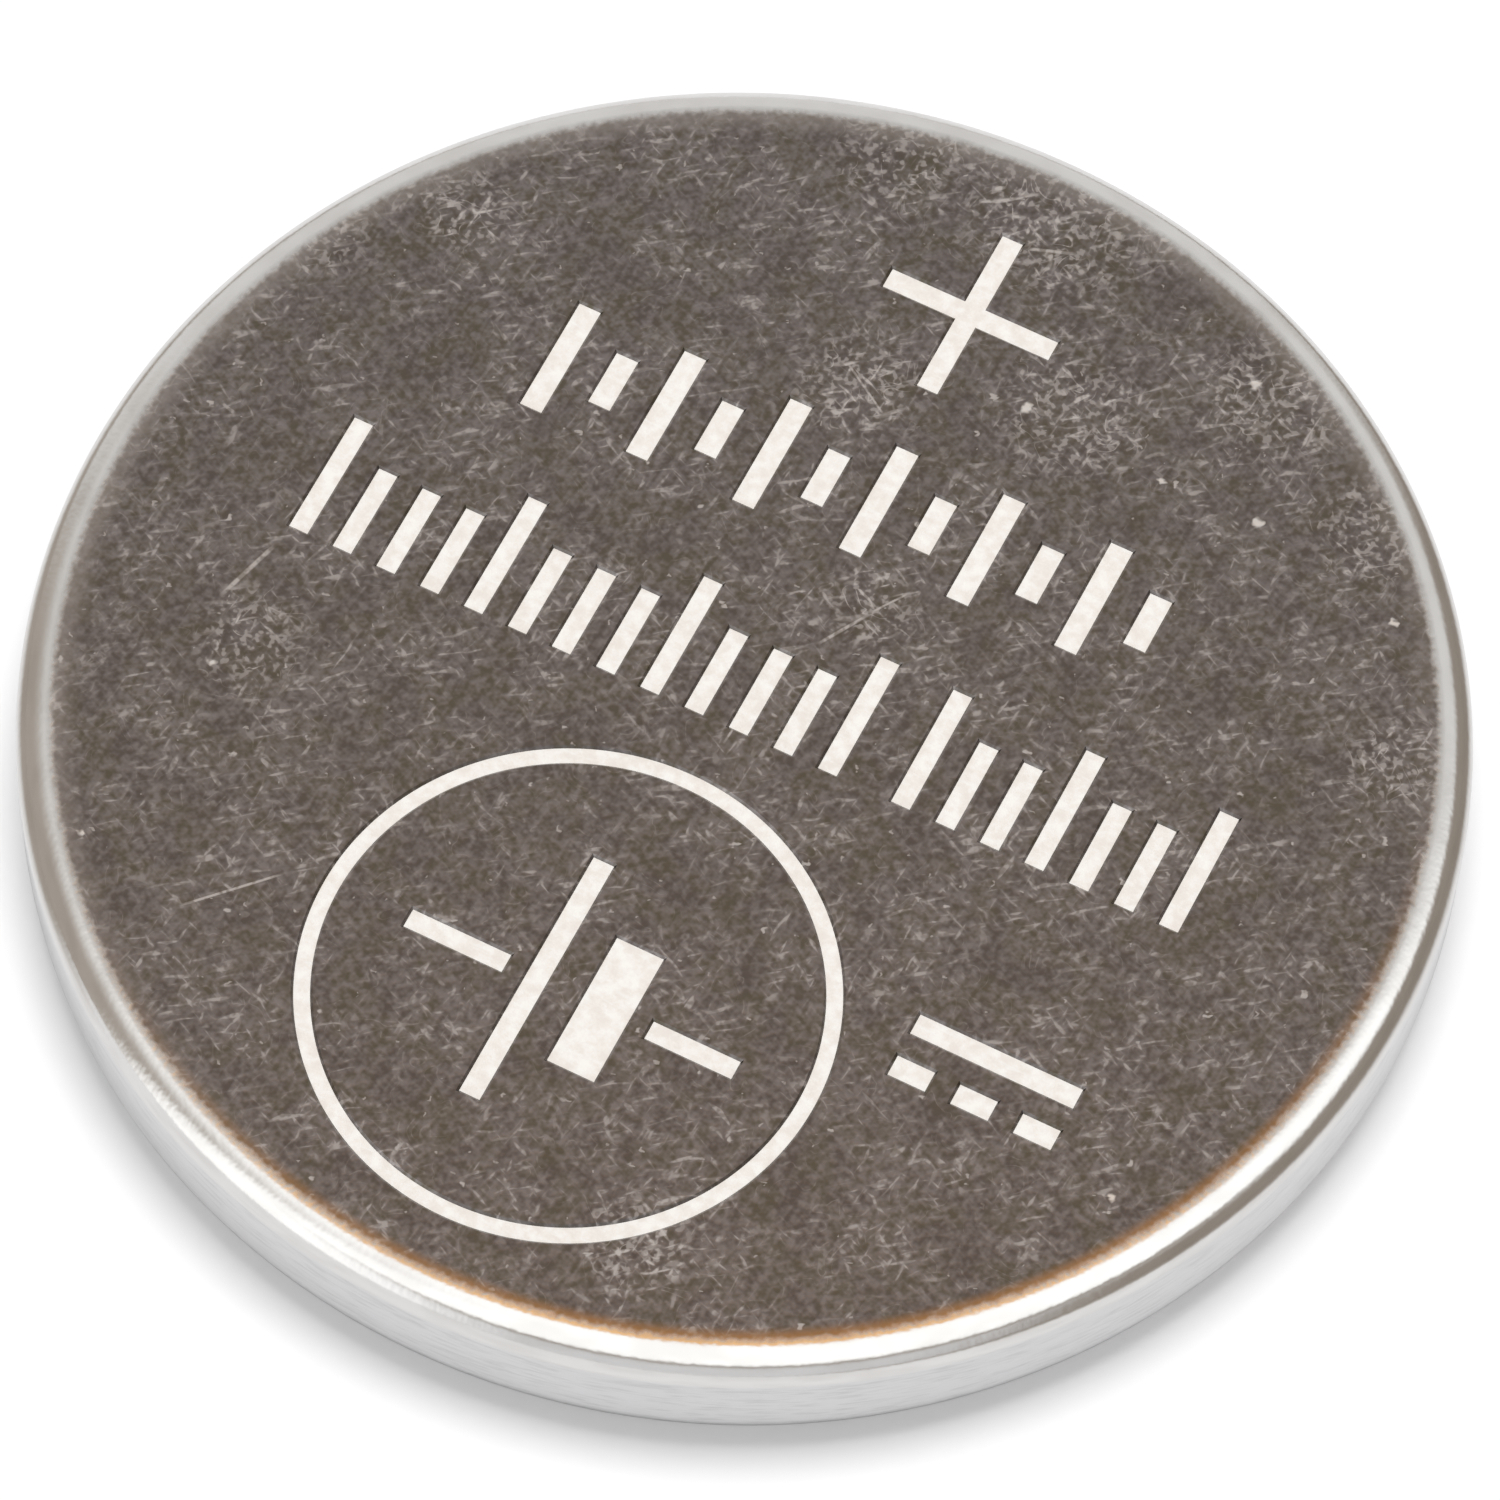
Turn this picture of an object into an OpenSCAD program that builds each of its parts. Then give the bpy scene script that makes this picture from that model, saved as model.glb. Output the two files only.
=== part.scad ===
// Lithium coin cell, 16 mm across and 2 mm high, positive face up.
// The origin is the centre of the negative face, which the cell rests on. All sizes are in millimetres.
// Every round piece is one section, drawn in the radius and height plane and turned about Z.

/* [Cell] */
// Overall diameter, over the can's wall
cell_d = 16; // [14:0.1:20]
// Overall height, from the negative face to the positive face
cell_h = 2; // [1.8:0.05:2.8]

/* [Positive can] */
// Sheet thickness of the can
can_t = 0.2; // [0.15:0.01:0.25]
// Outside radius between the positive face and the wall
can_corner_r = 0.38; // [0.32:0.01:0.5]
// Outside radius of the crimped rim
rim_r = 0.6; // [0.5:0.05:0.7]
// Angle that the rim is rolled in from the wall, in degrees
rim_turn = 75; // [68:1:82]
// Straight lip past the rolled bend
rim_lip = 0.35; // [0.3:0.01:0.42]
// Height of the rim's lowest edge above the negative face
rim_lift = 0.12; // [0.06:0.01:0.16]

/* [Negative cap] */
// Sheet thickness of the cap
cap_t = 0.2; // [0.15:0.01:0.25]
// Outside radius at the edge of the negative face
cap_corner_r = 0.4; // [0.32:0.01:0.45]
// Slope of the cap's wall from the negative face, in degrees
cap_wall_turn = 70; // [60:1:80]
// Height of the shoulder that the rim clamps, above the negative face
shoulder_z = 0.6; // [0.54:0.01:0.68]
// Width of the shoulder, from the top of the wall to the outside of the skirt
shoulder_w = 0.57; // [0.54:0.01:0.66]
// Outside radius where the wall runs into the shoulder
shoulder_root_r = 0.15; // [0.08:0.01:0.18]
// Outside radius between the shoulder and the skirt
skirt_corner_r = 0.35; // [0.3:0.01:0.38]

/* [Gasket] */
// Thickness of the gasket between the can's wall and the cap's skirt
gasket_t = 0.35; // [0.3:0.01:0.42]
// Thickness of the gasket's floor, which the skirt's edge stands on
gasket_floor_t = 0.28; // [0.2:0.01:0.35]
// Thickness of the gasket's lip inside the skirt
gasket_lip_t = 0.3; // [0.2:0.01:0.4]
// Height of the gasket's inner lip above its floor
gasket_lip_h = 0.26; // [0.15:0.01:0.34]
// How far the gasket shows inside the end of the rim's lip
gasket_show = 0.22; // [0.1:0.01:0.3]
// Clearance between the gasket and the two shells
fit = 0.01; // [0.005:0.005:0.02]

/* [Cathode] */
// Distance from the edge of the cap's flat face in to the side of the pellet
pellet_margin = 0.2; // [0.18:0.01:0.6]
// Chamfer on the pellet's two edges
pellet_chamfer = 0.15; // [0.1:0.01:0.25]
// Thickness of the current collector under the pellet
collector_t = 0.1; // [0.05:0.01:0.15]
// Distance from the side of the pellet in to the edge of the collector
collector_margin = 0.2; // [0.1:0.05:0.5]
// Length of a diamond of the collector's mesh, from one joint of its strands to the next
mesh_long = 1.6; // [1.2:0.1:2.4]
// Width of a diamond of the collector's mesh
mesh_short = 1; // [0.8:0.1:1.6]
// Width of the mesh's strands
strand_w = 0.2; // [0.15:0.01:0.3]
// Solid band that the mesh keeps along its edge
mesh_band = 0.3; // [0.2:0.05:0.6]

/* [Separator and anode] */
// Thickness of the separator
separator_t = 0.1; // [0.06:0.01:0.12]
// Outside radius where the separator turns up round the pellet
separator_bend_r = 0.25; // [0.2:0.01:0.3]
// Height of the separator's turned-up edge
separator_edge_h = 0.7; // [0.4:0.05:0.8]
// Clearance between the pellet's side and the separator
separator_gap = 0.05; // [0.03:0.01:0.06]
// Thickness of the lithium disc
lithium_t = 0.35; // [0.25:0.01:0.45]
// Distance from the edge of the cap's flat face in to the side of the lithium disc
lithium_margin = 0.4; // [0.2:0.05:0.8]

/* [Hidden] */
$fn = 96;

can_r = cell_d / 2;
can_floor_z = cell_h - can_t;
// the rolled rim turns about this ring, and drops this far below it
rim_centre_r = can_r - rim_r;
rim_drop = rim_r * sin(rim_turn) + rim_lip * cos(rim_turn);
rim_centre_z = rim_lift + rim_drop;

// the cap's section, from the skirt inwards
skirt_r = can_r - can_t - gasket_t;
skirt_edge_z = can_floor_z - gasket_floor_t - 2 * fit;
wall_top_r = skirt_r - shoulder_w;
bends_rise = (cap_corner_r + shoulder_root_r) * (1 - cos(cap_wall_turn));
wall_length = (shoulder_z - bends_rise) / sin(cap_wall_turn);
cap_face_r = wall_top_r - wall_length * cos(cap_wall_turn) - cap_corner_r * sin(cap_wall_turn);
root_centre_r = wall_top_r + shoulder_root_r * sin(cap_wall_turn);

// the plane of the lip's inside, which the gasket follows past the lip's end
lip_plane = rim_lip + shoulder_w;
lip_end_r = rim_centre_r + (rim_r - can_t) * cos(rim_turn) - rim_lip * sin(rim_turn);
gasket_mouth_r = lip_end_r - gasket_show;
gasket_lip_r = skirt_r - cap_t - fit - gasket_lip_t;
gasket_lip_z = skirt_edge_z + fit - gasket_lip_h;

// the stack inside, from the negative cap up
lithium_r = cap_face_r - lithium_margin;
separator_z = cap_t + lithium_t;
pellet_z = separator_z + separator_t;
pellet_h = can_floor_z - collector_t - pellet_z;
pellet_r = cap_face_r - pellet_margin;
separator_r = pellet_r + separator_gap + separator_t;
collector_r = pellet_r - collector_margin;

// A block that stands on the radius axis and whose lower outer corner is rounded.
module rounded_block(outer_r, height, corner_r) {
    square([outer_r - corner_r, height]);
    translate([0, corner_r]) square([outer_r, height - corner_r]);
    translate([outer_r - corner_r, corner_r]) circle(corner_r);
}

// The can's outside, filled and moved in by an inset. Each arc keeps its centre, so a larger inset gives the
// inside of the sheet, or the outside of what fits in it. The lip runs on straight for the length that is asked.
module can_outline(inset, lip) {
    bend_r = rim_r - inset;
    translate([0, cell_h - inset]) mirror([0, 1])
        rounded_block(can_r - inset, cell_h - inset - rim_centre_z, can_corner_r - inset);
    translate([rim_centre_r, rim_centre_z]) rotate(-rim_turn) {
        intersection() {
            circle(bend_r);
            translate([-bend_r, -lip]) square([2 * bend_r, bend_r + lip]);
        }
        translate([-rim_drop - inset, -lip]) square([rim_drop + rim_r, lip]);
    }
}

// The cap's outside, filled up to the given height and moved in by an inset.
module cap_outline(inset, top_z) {
    corner_r = cap_corner_r - inset;
    root_r = shoulder_root_r + inset;
    fillet = root_r + cap_t / 2;
    translate([0, shoulder_z + inset])
        rounded_block(skirt_r - inset, top_z - shoulder_z - inset, skirt_corner_r - inset);
    translate([0, inset]) square([cap_face_r, shoulder_z + cap_t / 2]);
    translate([cap_face_r, cap_corner_r]) {
        circle(corner_r);
        rotate(cap_wall_turn) translate([0, -corner_r]) square([wall_length + root_r, 2 * corner_r]);
    }
    translate([root_centre_r, shoulder_z - shoulder_root_r]) difference() {
        polygon([
            [0, 0],
            [0, fillet],
            [-fillet * tan(cap_wall_turn / 2), fillet],
            [-fillet * sin(cap_wall_turn), fillet * cos(cap_wall_turn)]
        ]);
        circle(root_r);
    }
}

// The separator's outside, filled up to the given height and moved in by an inset.
module tray_outline(inset, height) {
    translate([0, separator_z + inset])
        rounded_block(separator_r - inset, height - inset, separator_bend_r - inset);
}

module positive_can() {
    color("#6b615c") rotate_extrude() difference() {
        can_outline(0, rim_lip);
        can_outline(can_t, lip_plane);
    }
}

module negative_cap() {
    color("#b9b6b1") rotate_extrude() difference() {
        cap_outline(0, skirt_edge_z);
        cap_outline(cap_t, cell_h);
    }
}

// The gasket fills what the two shells leave between them. Its floor carries the skirt's edge, and a low lip
// stands on the floor inside the skirt.
module sealing_gasket() {
    color("#d9dcda") rotate_extrude() {
        difference() {
            can_outline(can_t + fit, lip_plane);
            cap_outline(-fit, skirt_edge_z + fit);
            translate([0, skirt_edge_z]) square([gasket_lip_r, cell_h]);
            square([gasket_mouth_r, shoulder_z]);
        }
        translate([gasket_lip_r, gasket_lip_z]) square([gasket_lip_t, gasket_lip_h + gasket_floor_t / 2]);
    }
}

// A tablet pressed from manganese dioxide powder.
module cathode_pellet() {
    color("#26262a") translate([0, 0, pellet_z]) rotate_extrude() polygon([
        [0, 0],
        [pellet_r - pellet_chamfer, 0],
        [pellet_r, pellet_chamfer],
        [pellet_r, pellet_h - pellet_chamfer],
        [pellet_r - pellet_chamfer, pellet_h],
        [0, pellet_h]
    ]);
}

// One opening of the mesh, with its point at both ends of X. Half a strand comes off every side.
module diamond() {
    slope = atan(mesh_short / mesh_long);
    half_long = (mesh_long - strand_w / sin(slope)) / 2;
    half_short = (mesh_short - strand_w / cos(slope)) / 2;
    polygon([[half_long, 0], [0, half_short], [-half_long, 0], [0, -half_short]]);
}

// A disc of expanded metal. Rows of diamonds step by half a diamond, and a diamond that would cut into the
// band along the edge is left out.
module cathode_collector() {
    rows = ceil(2 * collector_r / mesh_short);
    columns = ceil(collector_r / mesh_long);
    color("#9a9794") translate([0, 0, can_floor_z - collector_t]) linear_extrude(collector_t) difference() {
        circle(collector_r);
        for (row = [-rows : rows], column = [-columns : columns]) {
            x = (column + (row % 2 == 0 ? 0 : 0.5)) * mesh_long;
            y = row * mesh_short / 2;
            if (norm([abs(x) + mesh_long / 2, y]) < collector_r - mesh_band
                && norm([x, abs(y) + mesh_short / 2]) < collector_r - mesh_band)
                translate([x, y]) diamond();
        }
    }
}

// A shallow tray of non-woven sheet, which lies on the lithium and turns up round the pellet.
module separator() {
    color("#f1efe8") rotate_extrude() difference() {
        tray_outline(0, separator_edge_h);
        tray_outline(separator_t, cell_h);
    }
}

module lithium_anode() {
    color("#c4c4c2") translate([0, 0, cap_t]) cylinder(r = lithium_r, h = lithium_t);
}

positive_can();
negative_cap();
sealing_gasket();
cathode_pellet();
cathode_collector();
separator();
lithium_anode();
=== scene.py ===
# %% [markdown]
# # A lithium coin cell
# The cell is 16 mm across and 2 mm high. A drawn steel can is crimped over a smaller stepped cap, and a
# thin plastic seal lies between them. The imported CAD model comes first: it gives the place and size of
# every piece, so nothing below is fitted by eye. Its boxes give several sizes below.

import math

import bmesh
import bpy
from mathutils import Matrix, Vector


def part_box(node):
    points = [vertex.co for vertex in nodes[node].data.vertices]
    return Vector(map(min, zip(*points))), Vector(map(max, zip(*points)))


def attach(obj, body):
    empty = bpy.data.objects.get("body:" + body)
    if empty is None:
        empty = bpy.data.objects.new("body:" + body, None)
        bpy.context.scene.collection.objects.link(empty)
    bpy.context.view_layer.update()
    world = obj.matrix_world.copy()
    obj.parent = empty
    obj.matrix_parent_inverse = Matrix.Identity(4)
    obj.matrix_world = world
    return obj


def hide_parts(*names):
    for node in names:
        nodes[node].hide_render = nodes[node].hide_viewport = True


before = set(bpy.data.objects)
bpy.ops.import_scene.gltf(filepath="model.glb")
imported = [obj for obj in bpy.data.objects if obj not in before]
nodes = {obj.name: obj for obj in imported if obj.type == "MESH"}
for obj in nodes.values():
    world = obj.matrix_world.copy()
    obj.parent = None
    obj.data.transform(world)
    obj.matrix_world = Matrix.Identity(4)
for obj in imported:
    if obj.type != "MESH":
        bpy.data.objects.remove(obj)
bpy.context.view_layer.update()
scene = bpy.context.scene
print("CAD nodes:", ", ".join(sorted(nodes)))

# %% [markdown]
# ## The camera
# The face's outline in the photograph is an ellipse, and its two axes give the height that the camera
# looks from. The far and near halves differ a little, which gives the distance. The camera is written as
# those few angles and lengths rather than as a matrix, so that each can be checked against the picture.
# It stands so close that its near clipping has to be much shorter than Blender's own.

# %% Camera
MM = 0.001
IMAGE_SIDE = 1500
FOCAL_IN_PIXELS = 9052.9
SENSOR_MM = 36
CAMERA_AZIMUTH = math.radians(24.6)
CAMERA_ELEVATION = math.radians(62.57)
CAMERA_ROLL = math.radians(2.51)
CAMERA_DISTANCE = 100 * MM
AIM_RIGHT = 0.0634 * MM
AIM_UP = -0.0457 * MM
CELL_MIDDLE = Vector((0, 0, 1 * MM))

toward_camera = Vector((
    math.sin(CAMERA_AZIMUTH) * math.cos(CAMERA_ELEVATION),
    -math.cos(CAMERA_AZIMUTH) * math.cos(CAMERA_ELEVATION),
    math.sin(CAMERA_ELEVATION),
))
level_right = Vector((math.cos(CAMERA_AZIMUTH), math.sin(CAMERA_AZIMUTH), 0))
level_up = toward_camera.cross(level_right)
camera_right = level_right * math.cos(CAMERA_ROLL) + level_up * math.sin(CAMERA_ROLL)
camera_up = level_up * math.cos(CAMERA_ROLL) - level_right * math.sin(CAMERA_ROLL)
aim = CELL_MIDDLE + camera_right * AIM_RIGHT + camera_up * AIM_UP

camera_data = bpy.data.cameras.new("camera")
camera_data.sensor_width = SENSOR_MM
camera_data.lens = SENSOR_MM * FOCAL_IN_PIXELS / IMAGE_SIDE
camera_data.clip_start = 1 * MM
camera_data.clip_end = 10
camera = bpy.data.objects.new("camera", camera_data)
camera.matrix_world = Matrix.Translation(aim + toward_camera * CAMERA_DISTANCE) @ Matrix((
    camera_right, camera_up, toward_camera)).transposed().to_4x4()
scene.collection.objects.link(camera)
scene.camera = camera
print("lens:", round(camera_data.lens, 2), "mm, camera at", [round(c, 4) for c in camera.location])

# %% [markdown]
# ## Writing nodes as sums
# A node tree is easier to read as arithmetic than as a list of links. `Value` wraps one socket, and each
# operator on it adds a Math node. `Graph.node` makes any other node: its type first, then its settings,
# then what its sockets are given. Both are used for the materials, the sky and the Geometry Nodes trees
# below.

# %% Node helpers
def pick(sockets, key):
    """The socket with that index, identifier or name. A Mix node has several of one name, and shows one."""
    if isinstance(key, int):
        return sockets[key]
    return next(s for s in sockets if key in (s.identifier, s.name) and s.enabled)


class Graph:
    """A node tree that is being built."""

    def __init__(self, tree):
        self.tree = tree

    def node(self, kind, settings=None, inputs=None, output=0):
        made = self.tree.nodes.new(kind)
        for name, value in (settings or {}).items():
            setattr(made, name, value)
        for key, value in (inputs or {}).items():
            socket = pick(made.inputs, key)
            if isinstance(value, Value):
                self.tree.links.new(value.socket, socket)
            else:
                socket.default_value = value
        return Value(self, pick(made.outputs, output)) if len(made.outputs) else made

    def vector(self, operation, first, second=None, output=0):
        given = {0: first} if second is None else {0: first, 1: second}
        return self.node("ShaderNodeVectorMath", {"operation": operation}, given, output)

    def mix(self, share, first, second):
        given = {"Factor": share, "A": first, "B": second}
        return self.node("ShaderNodeMix", {"data_type": "RGBA"}, given, "Result")

    def noise(self, place, scale, detail=2.0, roughness=0.5, distortion=0.0, kind="3D"):
        given = {"Vector": place, "Scale": scale, "Detail": detail, "Roughness": roughness,
                 "Distortion": distortion}
        return self.node("ShaderNodeTexNoise", {"noise_dimensions": kind}, given)


class Value:
    """One socket that gives a value. Arithmetic on it adds Math nodes to its tree."""

    def __init__(self, graph, socket):
        self.graph = graph
        self.socket = socket

    def math(self, operation, *given):
        """A Math node with these numbers. The operators below give it both numbers, in the order needed."""
        return self.graph.node("ShaderNodeMath", {"operation": operation}, dict(enumerate(given)))

    def out(self, name):
        return Value(self.graph, pick(self.socket.node.outputs, name))

    def __add__(self, other):
        return self.math("ADD", self, other)

    def __radd__(self, other):
        return self.math("ADD", other, self)

    def __sub__(self, other):
        return self.math("SUBTRACT", self, other)

    def __rsub__(self, other):
        return self.math("SUBTRACT", other, self)

    def __mul__(self, other):
        return self.math("MULTIPLY", self, other)

    def __rmul__(self, other):
        return self.math("MULTIPLY", other, self)

    def __truediv__(self, other):
        return self.math("DIVIDE", self, other)

    def __rtruediv__(self, other):
        return self.math("DIVIDE", other, self)

    def __abs__(self):
        return self.math("ABSOLUTE", self)

    def larger(self, other):
        return self.math("MAXIMUM", self, other)

    def ramp(self, low, high):
        """Rises smoothly from 0 at low to 1 at high, or falls where low is the higher number."""
        given = {"Value": self, "From Min": low, "From Max": high}
        return self.graph.node("ShaderNodeMapRange", {"interpolation_type": "SMOOTHSTEP"}, given)


# %% [markdown]
# ## The light
# A photograph of bright metal shows mostly what stands round it. Here a white tent does that, and a few
# darker places in it draw the object. A soft patch stands where the flat face mirrors the tent, so that
# the face stays darker than its rim. The far side is a little dimmer than the near side, dim shapes stand
# at the left and the right, and a thin dark line runs low on the near side. The rounded edge of the can
# mirrors them as bands. The world's colour is worked out from the direction of each ray, and only rays
# that a metal mirrors need it: a Mix Shader leaves all that work out for the other rays, which keeps the
# render quick.

# %% World
def level_of(degrees):
    """How high, from 0 to 1, a direction points that rises by so many degrees."""
    return math.sin(math.radians(degrees))


def near_to(degrees):
    """The dot product of two directions that many degrees apart."""
    return math.cos(math.radians(degrees))


WHITE = (1, 1, 1, 1)
NEAR_SKY = (1.35, 1.35, 1.35, 1)
FAR_SKY = (0.77, 0.76, 0.75, 1)
LOW_SKY = (0.73, 0.73, 0.745, 1)
PATCH_SKY = (0.6, 0.595, 0.59, 1)
WARM_SKY = (1.1, 0.55, 0.12, 1)
LEFT_SKY = (0.43, 0.385, 0.34, 1)
RIGHT_SKY = (0.32, 0.28, 0.24, 1)
TENT_ON_MATT = 0.4

# degrees from the mirrored direction of the camera
PATCH_CORE = 7
PATCH_EDGE = 18
# degrees above the floor
DARK_LINE = (27, 30, 35, 38)
RIGHT_SHAPE_TOP = 36
RIGHT_SHAPE_FULL = 22
# how far above the mirrored direction the warm band starts and ends, and how fast it narrows sideways
WARM_START = (0.03, 0.08)
WARM_END = (0.2, 0.27)
WARM_NARROWING = 0.8

far_way = -Vector((toward_camera.x, toward_camera.y, 0)).normalized()
face_mirror = Vector((-toward_camera.x, -toward_camera.y, toward_camera.z))
above_mirror = level_right.cross(face_mirror)

world = bpy.data.worlds.new("studio")
world.use_nodes = True
world.node_tree.nodes.clear()
sky = Graph(world.node_tree)
direction = sky.node("ShaderNodeTexCoord", None, None, "Generated")
height = sky.node("ShaderNodeSeparateXYZ", None, {0: direction}, "Z")
rightward = sky.vector("DOT_PRODUCT", direction, level_right, "Value")
leftward = 0.0 - rightward
ahead = sky.vector("DOT_PRODUCT", direction, far_way, "Value")
nearness = sky.vector("DOT_PRODUCT", direction, face_mirror, "Value")
above = sky.vector("DOT_PRODUCT", direction, above_mirror, "Value")

left_ends = leftward.ramp(0.75, 0.35)
line_start, line_dark, line_fades, line_end = (level_of(degrees) for degrees in DARK_LINE)
patch = nearness.ramp(near_to(PATCH_EDGE), near_to(PATCH_CORE))
warm = (above - abs(rightward) * WARM_NARROWING).ramp(*WARM_START) * above.ramp(*WARM_END[::-1])
left_shade = leftward.ramp(0.1, 0.85) * ahead.ramp(-0.33, -0.12) * ahead.ramp(0.8, 0.55)
below_shape_top = height.ramp(level_of(RIGHT_SHAPE_TOP), level_of(RIGHT_SHAPE_FULL))
right_shade = rightward.ramp(0.35, 0.75) * below_shape_top
low = height.ramp(line_dark, line_start) * left_ends * ahead.ramp(0.0, -0.2)
line = height.ramp(line_start, line_dark) * height.ramp(line_end, line_fades)
line = line * left_ends * ahead.ramp(-0.1, -0.4)

light = sky.mix(ahead.ramp(0.1, 0.45), NEAR_SKY, FAR_SKY)
light = sky.mix(low, light, LOW_SKY)
light = sky.mix(left_shade, light, LEFT_SKY)
light = sky.mix(right_shade.larger(line), light, RIGHT_SKY)
light = sky.mix(patch, light, PATCH_SKY)
light = sky.mix(warm, light, WARM_SKY)
rays = sky.node("ShaderNodeLightPath", None, None, "Is Glossy Ray")
strength = TENT_ON_MATT + rays.out("Is Camera Ray") * (1.0 - TENT_ON_MATT)
plain = sky.node("ShaderNodeBackground", None, {"Color": WHITE, "Strength": strength})
mirrored = sky.node("ShaderNodeBackground", None, {"Color": light, "Strength": 1.0})
tent = sky.node("ShaderNodeMixShader", None, {0: rays, 1: plain, 2: mirrored})
sky.node("ShaderNodeOutputWorld", None, {"Surface": tent})
scene.world = world
scene.view_settings.view_transform = "Standard"
print("world: white, with a patch at", [round(c, 3) for c in face_mirror])

# %% [markdown]
# ## One lamp
# A tent alone gives a wide, faint shadow. The photograph has a narrow one, a little to the near and left
# side. So most of the light on matt surfaces comes from one soft lamp, almost overhead, and the tent
# gives the rest. Metal doesn't mirror the lamp, which would put a bright haze on the face.

# %% Lamp
LAMP_FROM_ZENITH = math.radians(4)
LAMP_DISTANCE = 0.3
LAMP_SIZE = 0.13
lamp_share = math.pi * (1 - TENT_ON_MATT)

lamp_side = (far_way + level_right * 0.7).normalized()
lamp_way = lamp_side * math.sin(LAMP_FROM_ZENITH) + Vector((0, 0, math.cos(LAMP_FROM_ZENITH)))
lamp_data = bpy.data.lights.new("soft_lamp", "AREA")
lamp_data.shape = "DISK"
lamp_data.size = LAMP_SIZE
lamp_data.energy = lamp_share * math.pi * LAMP_DISTANCE ** 2
lamp = bpy.data.objects.new("soft_lamp", lamp_data)
lamp.location = lamp_way * LAMP_DISTANCE
lamp.rotation_mode = "QUATERNION"
lamp.rotation_quaternion = lamp_way.to_track_quat("Z", "Y")
lamp.visible_glossy = False
scene.collection.objects.link(lamp)
print("lamp:", round(lamp_data.energy, 3), "W at", LAMP_DISTANCE, "m")

# %% [markdown]
# ## The floor
# The picture's ground is pure white apart from a soft shadow close to the cell. A white sheet in this
# light comes out slightly grey near the cell, so rays from the camera also see a little light of the
# sheet's own. It keeps its shading under that, so the shadow stays. What the metal mirrors of the sheet
# turns dim at both sides.

# %% Floor
FLOOR_HALF = 300 * MM
FLOOR_COLOUR = (0.945, 0.94, 0.945, 1)
FLOOR_LIFT = 0.1
FLOOR_GLOW = 2.3
DIM_FROM = 8.8 * MM
DIM_TO = 13 * MM
DIM_LEFT_FROM = -6 * MM
DIM_LEFT_TO = -1 * MM

floor_mesh = bpy.data.meshes.new("floor")
floor_corners = [(x * FLOOR_HALF, y * FLOOR_HALF, 0) for x, y in ((-1, -1), (1, -1), (1, 1), (-1, 1))]
floor_mesh.from_pydata(floor_corners, [], [(0, 1, 2, 3)])
floor = bpy.data.objects.new("floor", floor_mesh)
scene.collection.objects.link(floor)
floor_material = bpy.data.materials.new("white_sheet")
floor_material.use_nodes = True
floor_material.node_tree.nodes.clear()
sheet = Graph(floor_material.node_tree)
spot = sheet.node("ShaderNodeTexCoord", None, None, "Object")
rays = sheet.node("ShaderNodeLightPath", None, None, "Is Glossy Ray")
aside = sheet.vector("DOT_PRODUCT", spot, level_right, "Value")
beyond = sheet.vector("DOT_PRODUCT", spot, far_way, "Value").ramp(DIM_LEFT_FROM, DIM_LEFT_TO)
dim_right = aside.ramp(DIM_FROM, DIM_TO) * rays
dim_left = aside.ramp(-DIM_FROM, -DIM_TO) * beyond * rays
paper_colour = sheet.mix(dim_right, FLOOR_COLOUR, RIGHT_SKY)
paper_colour = sheet.mix(dim_left, paper_colour, LEFT_SKY)
paper = sheet.node("ShaderNodeBsdfDiffuse", None, {"Color": paper_colour})
glow = sheet.node("ShaderNodeEmission", None, {"Color": WHITE, "Strength": FLOOR_GLOW})
lifted = rays.out("Is Camera Ray") * FLOOR_LIFT
floor_look = sheet.node("ShaderNodeMixShader", None, {0: lifted, 1: paper, 2: glow})
sheet.node("ShaderNodeOutputMaterial", None, {"Surface": floor_look})
floor_mesh.materials.append(floor_material)
print("floor:", 2 * FLOOR_HALF, "m square")

# %% [markdown]
# ## A material is a graph with one shader
# Every finish below ends in one Principled shader. `surface` starts its graph and gives the place on the
# object in millimetres, and `finish_with` adds the shader. Numbers that are the same all over are set on
# the shader itself.

# %% Material helpers
def surface(name):
    """A new material's graph, and the place on the object in millimetres."""
    made = bpy.data.materials.new(name)
    made.use_nodes = True
    made.node_tree.nodes.clear()
    graph = Graph(made.node_tree)
    graph.material = made
    place = graph.node("ShaderNodeTexCoord", None, None, "Object")
    return graph, graph.node("ShaderNodeVectorMath", {"operation": "SCALE"}, {0: place, "Scale": 1 / MM})


def shifted(graph, place, step):
    """The same pattern from another part of its space."""
    return graph.vector("ADD", place, (step * 17.3, step * -9.1, step * 5.7))


def bump(graph, height_field, depth_mm):
    given = {"Strength": 1.0, "Distance": depth_mm * MM, "Height": height_field}
    return graph.node("ShaderNodeBump", None, given, "Normal")


def finish_with(graph, **sockets):
    """Adds the shader. A socket's name is written with _ for a space."""
    given = {name.replace("_", " "): value for name, value in sockets.items()}
    shader = graph.node("ShaderNodeBsdfPrincipled", None, given)
    graph.node("ShaderNodeOutputMaterial", None, {"Surface": shader})
    print("material:", graph.material.name, "with", len(graph.tree.nodes), "nodes")
    return graph.material


# %% [markdown]
# ## Patterns of wear
# A handled steel face is covered in fine pale fibres and scuffs a few hundredths of a millimetre wide.
# They could be drawn as thousands of small meshes, but they have no height to speak of. The contour lines
# of a noise are thin, curly and point every way, and a second noise breaks them into short lengths. Noise
# that is drawn out along one direction has high places that look like short strokes.

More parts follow.
